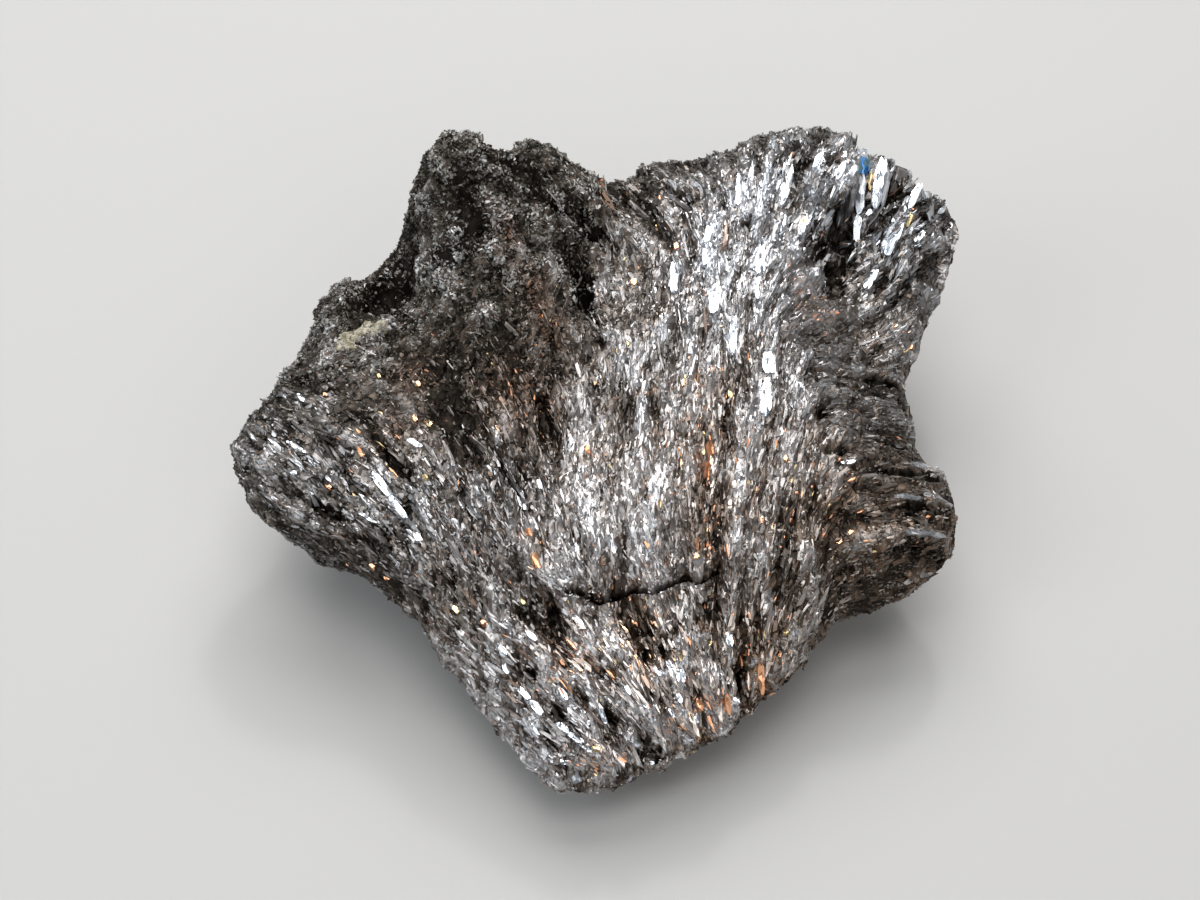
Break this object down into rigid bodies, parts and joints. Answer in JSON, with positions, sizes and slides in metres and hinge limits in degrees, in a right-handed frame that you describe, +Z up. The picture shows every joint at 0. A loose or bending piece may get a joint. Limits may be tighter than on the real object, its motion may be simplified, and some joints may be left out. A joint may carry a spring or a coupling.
{
  "type": "stibnite crystal spray",
  "caption": "Lump of radiating, grown-together stibnite blades with a broken, ribbed upper face and a flat broken patch to rest on.",
  "frame": {"origin": "middle of the bounding box, at the bottom, on the surface that the lump rests on", "axes": "+Z up; -Y towards the pointed front end of the lump; +Y towards its high back crest; +X to the right seen from the front"},
  "size_m": [0.0614, 0.056, 0.03],
  "materials": {
    "stibnite": "gloss, lead-grey metallic lustre"
  },
  "bodies": {
    "root": {"crystal_spray": "stibnite"}
  },
  "joints": []
}
